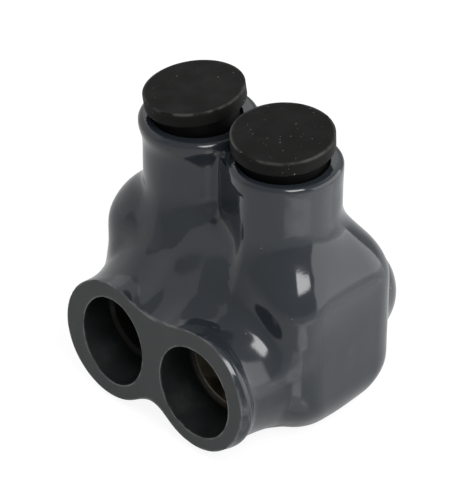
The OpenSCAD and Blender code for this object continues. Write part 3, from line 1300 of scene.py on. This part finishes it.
@dataclass(frozen=True)
class DippedJacket:
    """The vinyl jacket, as one poured skin with its ports, wells and pockets."""

    layout: Layout
    pitch: float = 0.82                    # lattice planes, and those near mouths and rims
    fine_pitch: float = 0.42
    side_bulge: float = 1.4
    front_bulge: float = 3.65
    dome_bulge: float = 0.2
    tower_shift: float = 0.7
    margin_x: float = 2.6
    margin_y: Pair = (2.4, 1.37)
    margin_z: Pair = (0.71, 0.6)
    fine_y: float = 3.8
    fine_z: float = 3.1
    lip_width: float = 1.2
    cut_off: float = 0.06                  # farthest from the cut plane, and least slope towards it
    cut_facing: float = 0.9

    def shape(self) -> JacketShape:
        """Fits the distance function to the frame's boxes.

        Returns:
            The function: the CAD's places and sizes, with the bulges of the pour added.
        """
        at, (low, high), (b0, b1) = self.layout, self.layout.jacket, self.layout.block
        depth = b1[1]
        half_d = depth + self.front_bulge
        return JacketShape(
            Body(high[0] + self.side_bulge, half_d, b1[2] + b0[2] - low[2]),
            Sleeves(at.half_pitch, low[1], -half_d),
            Towers(at.half_pitch, high[2], at.screw_y + self.tower_shift),
            half_pitch=at.half_pitch, port_z=at.port_z, port_r=at.port_r, screw_y=at.screw_y,
            rear=high[1] + self.dome_bulge, block_low=np.array([b0[0], -depth, b0[2]]),
            block_high=b1, collar_front=b0[1])

    def planes(self, low: float, high: float, fine: Pair) -> Array:
        """Lattice planes along one axis.

        Args:
            low: first plane.
            high: where the last ones lie.
            fine: stretch where the planes lie closer together.

        Returns:
            Places of the planes.
        """
        return np.concatenate([np.arange(low, fine[0], self.pitch),
                               np.arange(fine[0], fine[1], self.fine_pitch),
                               np.arange(fine[1], high + self.pitch, self.pitch)])

    def lattice(self) -> Lattice:
        """Lays the lattice round the jacket.

        Returns:
            The lattice, fine behind the cut face and below the towers' rims.
        """
        low, high = self.layout.jacket
        x0, y0, z0 = low - (self.margin_x, self.margin_y[0], self.margin_z[0])
        x1, y1, z1 = high + (self.margin_x, self.margin_y[1], self.margin_z[1])
        return Lattice(self.shape(), (np.arange(x0, x1 + self.pitch, self.pitch),
                                      self.planes(y0, y1, (y0, low[1] + self.fine_y)),
                                      self.planes(z0, z1, (high[2] - self.fine_z, z1))))

    def build(self, fx: Effects) -> None:
        """Builds, dresses and seats the jacket in place of its CAD node.

        Args:
            fx: the shared effects.
        """
        lattice = self.lattice()
        vertex, quad, normals = lattice.build()
        piece = quad_skin("dipped_jacket", vertex, quad)
        mesh = piece.data
        add_values(piece, "lip", self.lip(lattice.shape, vertex))
        for zone, finish in ((Zone.GLOSS, GlossVinyl()), (Zone.CUT, CutVinyl()),
                             (Zone.BORE, BoreVinyl())):
            mesh.materials.append(finish.make(zone.name.lower() + "_vinyl", fx))
        mesh.polygons.foreach_set("material_index", self.zones(lattice.shape, vertex, quad))
        mesh.normals_split_custom_set(normals.reshape(-1, 3).tolist())
        mesh.update()
        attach(piece, "housing")
        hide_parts("insulating_jacket")
        log.info("dipped jacket: %d vertices, %d quads", len(vertex), len(quad))

    def lip(self, shape: JacketShape, vertex: Array) -> Array:
        """How near each vertex is to the rim of the cut face.

        Args:
            shape: the jacket's distance function.
            vertex: points on its skin.

        Returns:
            1 on the rim, nought from the lip's width onwards.
        """
        x, y, z = vertex.T
        flat = np.abs(y - shape.cut(x, z))
        edge = np.minimum(np.abs(shape.hollows(x, y, z)), np.abs(shape.poured(x, y, z)))
        return step(np.maximum(flat, edge), self.lip_width, 0.0)

    def zones(self, shape: JacketShape, vertex: Array, quad: Array) -> Array:
        """Finish of each quad.

        Args:
            shape: the jacket's distance function.
            vertex: points on its skin.
            quad: their quads.

        Returns:
            Zone numbers: cut on the front plane, bore where the hollows bound the vinyl, gloss
            elsewhere.
        """
        corner = vertex[quad]
        x, y, z = corner.mean(1).T
        hollow = np.abs(shape.hollows(x, y, z)) < np.abs(shape.outside(x, y, z))
        normal = unit(np.cross(corner[:, 2] - corner[:, 0], corner[:, 3] - corner[:, 1]))
        cut = ((np.abs(y - shape.cut(x, z)) < self.cut_off)
               & (np.abs(normal[:, 1]) > self.cut_facing))
        zone = np.where(hollow, Zone.BORE.value, Zone.GLOSS.value)
        return np.where(cut, Zone.CUT.value, zone).astype(np.int32)


@dataclass(frozen=True)
class AccessCap:
    """A push-in rubber cap: ribbed hollow plug, bent neck and round flange."""

    layout: Layout
    side: Side
    lean: Pair                             # degrees the top tips towards +X and towards +Y
    flange_t: float = 3.7
    flange_gap: float = 3.8
    flange_r: Pair = (0.18, 0.3)           # roundings of the flange above and below
    crown: float = 0.08
    neck: Triple = (0.1, 0.5, 0.5)         # how much wider it is, its rounding and its length
    bend_z: Pair = (-2.6, 1.0)             # where the neck bends, from its middle
    plug_r: float = 10.2
    plug_len: float = 8.5
    plug_wall: float = 2.4
    plug_end_r: Pair = (0.5, 0.4)          # roundings of its end outside and inside
    hollow_r: float = 0.8
    rib_h: float = 0.94
    rib_w: float = 1.4
    rib_slope: float = 0.2
    rib_r: Pair = (0.3, 0.2)               # roundings of a rib's crest and foot
    rub_at: Pair = (0.05, 0.1)             # middle of the rubbed edge, in from the flange's edge
    rub_width: float = 0.5
    longest: float = 0.6
    turns: int = 160

    def profile(self) -> Array:
        """Half section of the cap.

        Returns:
            (n, 2) radii and heights, from the middle of its top round the outside to the middle of
            the hollow's floor.
        """
        low, high = self.layout.cap
        r, top = (high[0] - low[0]) / 2, high[2]
        under, bottom = top - self.flange_t, low[2]
        rib, inner = self.plug_r + self.rib_h, self.plug_r - self.plug_wall
        first, second = bottom + self.rib_w, bottom + self.plug_len / 2 + self.rib_w
        wider, neck_r, length = self.neck
        crest_r, foot_r = self.rib_r
        corners = [(0, top, 0), (r, top - self.crown, self.flange_r[0]),
                   (r, under, self.flange_r[1]), (self.plug_r + wider, under, neck_r),
                   (self.plug_r, second + self.rib_w + length, foot_r)]
        for start in (second, first):
            corners += [(rib, start + self.rib_w, crest_r), (rib, start + self.rib_slope, crest_r),
                        (self.plug_r, start - self.rib_slope, foot_r)]
        corners += [(self.plug_r, bottom, self.plug_end_r[0]), (inner, bottom, self.plug_end_r[1]),
                    (inner, under, self.hollow_r), (0, under, 0)]
        return resampled(rounded_profile(corners), self.longest)

    def rings(self, profile: Array) -> Array:
        """Turns the profile round the tower's axis and bends the neck.

        Each ring is a circle. It is then turned about the neck's middle, by an angle that grows
        with the cubic step from nought in the well to the whole lean at the flange.

        Args:
            profile: radii and heights.

        Returns:
            (n, turns, 3) places.
        """
        angle = np.arange(self.turns) * (2 * math.pi / self.turns)
        r, z = profile[:, :1], profile[:, 1:]
        pivot = self.layout.cap[1][2] - self.flange_t - self.flange_gap / 2
        x, y, up = r * np.cos(angle), r * np.sin(angle), z - pivot + 0 * angle
        bend = step(up, *self.bend_z)
        to_x, to_y = (math.radians(lean) * bend for lean in self.lean)
        x, up = x * np.cos(to_x) + up * np.sin(to_x), up * np.cos(to_x) - x * np.sin(to_x)
        y, up = y * np.cos(to_y) + up * np.sin(to_y), up * np.cos(to_y) - y * np.sin(to_y)
        return np.stack([x + self.side.value * self.layout.half_pitch,
                         y + self.layout.screw_y, up + pivot], -1)

    def rubbed(self, profile: Array) -> Array:
        """How rubbed the cap is along its profile.

        Args:
            profile: radii and heights.

        Returns:
            One value per ring: 1 at the flange's upper edge, -1 below the flange, which marks
            where shade is painted.
        """
        low, high = self.layout.cap
        r, z = profile.T
        edge_r, edge_z = (high[0] - low[0]) / 2 - self.rub_at[0], high[2] - self.rub_at[1]
        edge = step(np.hypot(r - edge_r, z - edge_z), self.rub_width, 0.0)
        # -1 marks the plug below the flange, where the material paints shade.
        return np.where(z < high[2] - self.flange_t + self.rib_slope, -1.0, edge)

    def build(self, fx: Effects, finish: CapRubber) -> None:
        """Builds, dresses and seats the cap in place of its CAD node.

        Args:
            fx: the shared effects.
            finish: its rubber.
        """
        side, profile = self.side.word, self.profile()
        name = "access_cap_" + side
        piece = turned(name, self.rings(profile))
        edge = self.rubbed(profile)
        add_values(piece, "edge", np.concatenate(
            [edge[:1], np.repeat(edge[1:-1], self.turns), edge[-1:]]))
        piece.data.materials.append(finish.make("rubber_" + name, fx))
        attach(piece, side + "_cap")
        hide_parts(side + "_access_cap")
        log.info("%s: %d rings of %d points", name, len(profile), self.turns)


@dataclass(frozen=True)
class SetScrew:
    """A socket set screw with a true helical thread."""

    layout: Layout
    side: Side
    pitch: float = 1.5875
    depth: float = 0.9
    tooth: Pair = (0.12, 0.72)             # shares of half a wave that are crest and flank
    thread_ends: Pair = (0.55, 0.9)        # from the top and from the end
    fade_top: Pair = (-0.4, -1.4)
    fade_low: Pair = (0.7, 1.9)
    flats: float = 9.5
    socket: float = 9.0
    socket_taper: float = 0.995
    chamfer: tuple[Pair, ...] = ((0.35, -0.05), (0.6, 0.0))   # wider than the socket, and height
    rim: float = 0.5                       # chamfers inwards of the thread's root
    point: Triple = (0.9, 0.06, 2.6)       # how far the end's chamfer goes in and up, its flat in
    drill_r: float = 3.2
    drill: Pair = (1.0, 0.25)              # below the socket's floor, in the middle and at its edge
    socket_rows: int = 8
    thread_rows: int = 150
    sharp: float = 40.0
    turns: int = 96

    def rings(self) -> Array:
        """Works out the screw's rings, from the socket's floor up, over the top, down the thread.

        Along the thread the radius falls from the crest by the thread's depth times a rounded
        triangle wave of height and angle, one wave per pitch and turn, faded out at both ends. In
        the socket the radius is the apothem over the cosine of the angle to the nearest flat.

        Returns:
            (n, turns, 3) places.
        """
        low, high = self.layout.screw
        r, end, top = (high[0] - low[0]) / 2, low[2], high[2]
        root, floor = r - self.depth, top - self.socket
        angle = np.arange(self.turns) * (2 * math.pi / self.turns)
        sixth = math.pi / 3
        hexagon = self.flats / 2 / np.cos((angle + sixth / 2) % sixth - sixth / 2)
        down = np.linspace(top - self.thread_ends[0], end + self.thread_ends[1], self.thread_rows)
        wave = np.abs(((down[:, None] / self.pitch - angle / (2 * math.pi)) % 1.0) * 2 - 1)
        crest, flank = self.tooth
        fade = step(down - top, *self.fade_top) * step(down - end, *self.fade_low)
        thread = r - self.depth * (1 - np.clip((wave - crest) / flank, 0, 1) * fade[:, None])
        walls = np.linspace(floor, top - self.rim, self.socket_rows)
        inwards, lift, tip = self.point
        rows = [(0.0, floor - self.drill[0]), (self.drill_r, floor - self.drill[1])]
        rows += [(hexagon * self.socket_taper, h) for h in walls]
        rows += [(hexagon + wider, top + h) for wider, h in self.chamfer]
        rows += [(root - self.rim, top), *zip(thread, down), (root - inwards, end + lift),
                 (r - tip, end), (0.0, end)]
        radius = np.stack([row + 0 * angle for row, _ in rows])
        height = np.stack([h + 0 * angle for _, h in rows])
        return np.stack([radius * np.cos(angle) + self.side.value * self.layout.half_pitch,
                         radius * np.sin(angle) + self.layout.screw_y, height], -1)

    def build(self, finish: bpy.types.Material) -> None:
        """Builds, dresses and seats the screw in place of its CAD node.

        Args:
            finish: its metal.
        """
        side, rings = self.side.word, self.rings()
        piece = turned("socket_screw_" + side, rings[::-1, ::-1])
        piece.data.materials.append(finish)
        piece.data.set_sharp_from_angle(angle=math.radians(self.sharp))
        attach(piece, side + "_screw")
        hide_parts(side + "_set_screw")
        log.info("set screw %s: %d rings", side, len(rings))


@dataclass(frozen=True)
class TerminalBlock:
    """The bored metal block: the CAD node itself, bare metal with compound film and painted shade.
    """

    layout: Layout
    # how fully painted shade darkens the left bore
    bore_shade: float = 0.99

    def build(self, fx: Effects) -> None:
        """Gives the node its finish.

        Args:
            fx: the shared effects.
        """
        metal = MachinedMetal(bore_shade=self.bore_shade, mouth_y=self.layout.block[0][1] * MM)
        materials = frame["nodes"]["terminal_block"].data.materials
        materials.clear()
        materials.append(metal.make("drilled_metal", fx))
        log.info("terminal block: dressed")


# ---------------------------------------------------------------- studio

def bearing(azimuth: float, elevation: float) -> Vector:
    """Unit vector towards a bearing in degrees: azimuth 0 is -Y and 90 is +X."""
    a, e = math.radians(azimuth), math.radians(elevation)
    return Vector((math.sin(a) * math.cos(e), -math.cos(a) * math.cos(e), math.sin(e)))


@dataclass(frozen=True)
class SoftBox:
    """A rectangular area lamp. Its power is the radiance at its face."""

    name: str
    width: float
    height: float
    power: float
    spread: float = 180.0

    def hang(self, place: Vector) -> bpy.types.Object:
        """Hangs the lamp, facing down.

        Args:
            place: its middle in millimetres.

        Returns:
            The lamp.
        """
        data = bpy.data.lights.new(self.name, "AREA")
        data.shape = "RECTANGLE"
        data.size, data.size_y = self.width * MM, self.height * MM
        data.spread = math.radians(self.spread)
        data.energy = self.power * math.pi * data.size * data.size_y
        lamp = link(self.name, data)
        lamp.location = place * MM
        return lamp


@dataclass(frozen=True)
class Studio:
    """Camera, pale floor and soft lamps."""

    azimuth: float = 44.5
    elevation: float = 34.5
    target: Triple = (0.0, 0.0, 38.0)
    shift: Pair = (2.3, 2.44)
    distance: float = 744.0
    lens: float = 221.2
    sensor: float = 36.0
    clip: Pair = (0.01, 50.0)
    # Lamps that face the object: azimuth, elevation, distance and box.
    lamps: tuple[tuple[float, float, float, SoftBox], ...] = (
        (67.0, 47.0, 620.0, SoftBox("key", 290.0, 290.0, 9.5)),
        (130.0, 15.0, 360.0, SoftBox("right", 540.0, 280.0, 2.0)),
        (-88.0, 22.0, 800.0, SoftBox("left", 1780.0, 1040.0, 0.36)),
        (-150.0, 45.0, 900.0, SoftBox("rear", 1000.0, 600.0, 0.4)))
    # Gridded lamps that hang over the floor at the right and light only it: x, y, z, turn and box.
    floor_lamps: tuple[tuple[float, float, float, float, SoftBox], ...] = (
        (114.0, 20.0, 50.0, 0.0, SoftBox("floor_wash", 90.0, 146.0, 0.9, 28.0)),
        (102.0, -40.0, 34.0, -22.0, SoftBox("floor_strip_far", 14.0, 84.0, 1.5, 6.0)),
        (77.0, -38.0, 30.0, -30.0, SoftBox("floor_strip_mid", 30.0, 24.0, 1.5, 6.0)),
        (55.0, -26.0, 28.0, -27.0, SoftBox("floor_strip_near", 22.0, 8.0, 1.4, 5.0)))
    sky: float = 0.46
    floor_grey: float = 0.68
    floor_roughness: float = 0.12
    floor_radii: Pair = (400.0, 3000.0)
    floor_sides: int = 64
    white: float = 1.13
    seen: Pair = (0.8, 0.15)               # share of plain white for camera and glossy rays

    def camera(self) -> None:
        """Places the camera along its bearing, shifted sideways in its own plane."""
        back, turn = bearing(self.azimuth, self.elevation), math.radians(self.azimuth)
        right = Vector((math.cos(turn), math.sin(turn), 0.0))
        up = back.cross(right)
        data = bpy.data.cameras.new("camera")
        data.lens, data.sensor_width = self.lens, self.sensor
        data.clip_start, data.clip_end = self.clip
        camera = link("camera", data)
        place = (Vector(self.target) + back * self.distance
                 - right * self.shift[0] - up * self.shift[1]) * MM
        turned_to = Matrix((right, up, back)).transposed().to_4x4()
        camera.matrix_world = Matrix.Translation(place) @ turned_to
        bpy.context.scene.camera = camera

    def light(self) -> None:
        """Hangs every lamp, those that face the object and those over the floor."""
        for azimuth, elevation, distance, box in self.lamps:
            back = bearing(azimuth, elevation)
            lamp = box.hang(Vector(self.target) + back * distance)
            lamp.rotation_euler = back.to_track_quat("Z", "Y").to_euler()
        for x, y, z, turn, box in self.floor_lamps:
            box.hang(Vector((x, y, z))).rotation_euler.z = math.radians(turn)

    def floor(self) -> None:
        """Makes a round pale floor that shows as plain white and keeps the object's shadow."""
        n = self.floor_sides
        angle = np.arange(n) * (2 * math.pi / n)
        rings = [np.stack([r * np.cos(angle), r * np.sin(angle), 0 * angle], -1)
                 for r in self.floor_radii]
        i, j = np.arange(n), (np.arange(n) + 1) % n
        middle = np.stack([0 * i, 1 + i, 1 + j], -1).tolist()
        round_it = np.stack([1 + i, 1 + n + i, 1 + n + j, 1 + j], -1).tolist()
        mesh = bpy.data.meshes.new("studio_floor")
        mesh.from_pydata((np.vstack([np.zeros((1, 3)), *rings]) * MM).tolist(), [],
                         middle + round_it)
        mesh.materials.append(self.floor_material())
        link("studio_floor", mesh)

    def floor_material(self) -> bpy.types.Material:
        """Pale satin floor, mostly plain white where the camera sees it.

        Returns:
            The material.
        """
        material = bpy.data.materials.new("pale_floor")
        material.use_nodes = True
        g = Graph(material.node_tree)
        shader = g.found("BSDF_PRINCIPLED")
        g.link((self.floor_grey,) * 3, shader.inputs["Base Color"])
        g.link(self.floor_roughness, shader.inputs["Roughness"])
        ray = g.node("LightPath").outputs
        glow = g.node("Emission", {"Color": (1.0, 1.0, 1.0), "Strength": self.white})
        seen = g.plus(g.times(ray["Is Camera Ray"], self.seen[0]),
                      g.times(ray["Is Glossy Ray"], self.seen[1]))
        mixed = g.node("MixShader", {0: seen, 1: shader.outputs[0], 2: glow.outputs[0]})
        g.link(mixed.outputs[0], g.found("OUTPUT_MATERIAL").inputs["Surface"])
        return material

    def world(self) -> None:
        """Sets an even grey sky that shows white where the camera sees it."""
        world = bpy.data.worlds.new("studio")
        bpy.context.scene.world = world
        world.use_nodes = True
        g = Graph(world.node_tree)
        background = g.found("BACKGROUND").inputs
        seen = g.node("LightPath").outputs["Is Camera Ray"]
        g.link((1.0, 1.0, 1.0), background["Color"])
        g.link(g.math("MAXIMUM", seen, self.sky), background["Strength"])

    def build(self) -> None:
        """Sets up the whole studio."""
        self.camera()
        self.light()
        self.floor()
        self.world()
        bpy.context.scene.view_settings.view_transform = "Standard"
        log.info("studio: %d lamps", len(self.lamps) + len(self.floor_lamps))


def main() -> None:
    """Builds every sub-assembly in order."""
    logging.basicConfig(level=logging.INFO, format="%(name)s: %(message)s")
    fx = Effects()
    layout = Layout.read()
    Studio().build()
    DippedJacket(layout).build(fx)
    AccessCap(layout, Side.LEFT, lean=(-5.0, -4.9)).build(fx, CapRubber(dusty=0.04))
    AccessCap(layout, Side.RIGHT, lean=(1.0, -3.6)).build(fx, CapRubber(dusty=0.45))
    thread = MachinedMetal(colour=(0.62, 0.62, 0.60), filmed=0.15, roughness=(0.22, 0.5),
                           lines=(150.0, 150.0, 2400.0)).make("turned_metal", fx)
    for side in Side:
        SetScrew(layout, side).build(thread)
    TerminalBlock(layout).build(fx)


if __name__ == "__main__":
    main()
